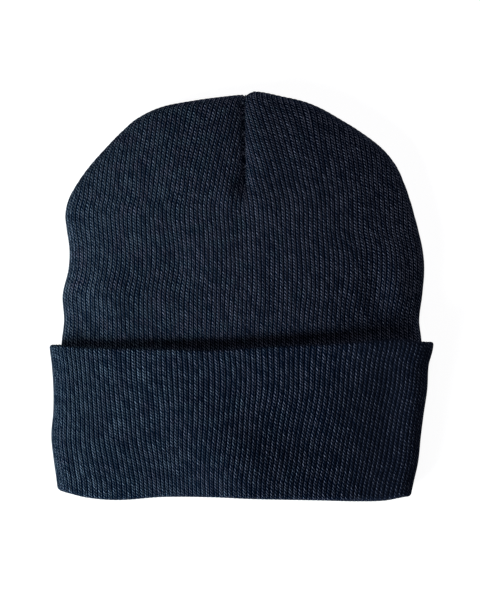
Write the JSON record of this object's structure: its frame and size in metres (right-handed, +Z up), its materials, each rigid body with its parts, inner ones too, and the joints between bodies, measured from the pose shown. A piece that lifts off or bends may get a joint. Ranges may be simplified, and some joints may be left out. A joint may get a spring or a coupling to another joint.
{
  "type": "winter hat",
  "caption": "Dark navy fine rib-knit beanie with a deep turned-up cuff, lying flat on its back with its front up.",
  "frame": {"origin": "under the middle of the hat, on the surface it lies on", "axes": "+X to the right as the hat is seen from above, +Y from the rim to the tip, +Z up off the surface, out of the hat's front"},
  "size_m": [0.2032, 0.2164, 0.031],
  "materials": {
    "navy_knit": "matte fine rib knit with a slight fuzz",
    "navy_cuff_knit": "matte fine rib knit with a slight fuzz"
  },
  "bodies": {
    "root": {"crown": "navy_knit", "cuff": "navy_cuff_knit"}
  },
  "joints": []
}
